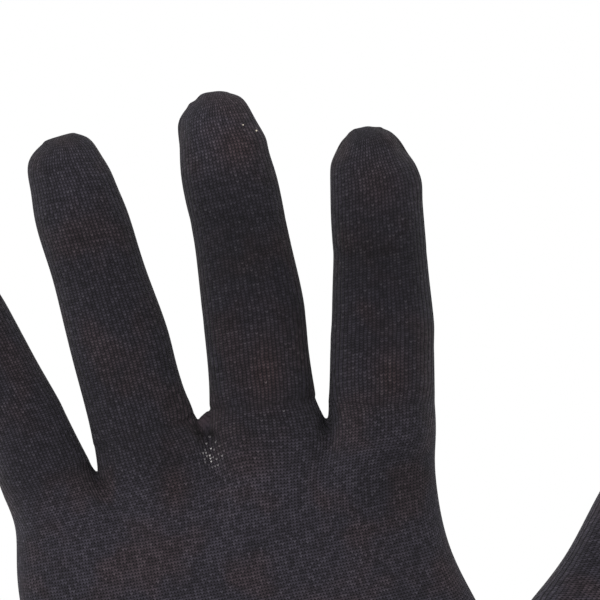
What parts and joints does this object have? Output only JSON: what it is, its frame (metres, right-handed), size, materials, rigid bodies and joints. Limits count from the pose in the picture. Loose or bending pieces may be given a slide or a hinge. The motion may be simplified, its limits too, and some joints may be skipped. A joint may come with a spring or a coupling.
{
  "type": "glove liner",
  "caption": "Thin knitted liner for a right hand: a ribbed cuff open at the wrist, a palm, and five closed finger tubes, all hollow, in the shape a hand gives them",
  "frame": {"origin": "centre of the cuff's open end", "axes": "+Z from the wrist to the fingertips, +X to the thumb side, -Y out of the palm"},
  "size_m": [0.1504, 0.052, 0.24],
  "materials": {
    "knit": "fine black plain knit, matt",
    "rib_knit": "fine black rib knit, matt"
  },
  "bodies": {
    "root": {"cuff": "rib_knit", "heel": "knit", "palm": "knit", "finger_roots": "knit", "thumb": "knit", "index_finger": "knit", "middle_finger": "knit", "ring_finger": "knit", "little_finger": "knit"}
  },
  "joints": []
}
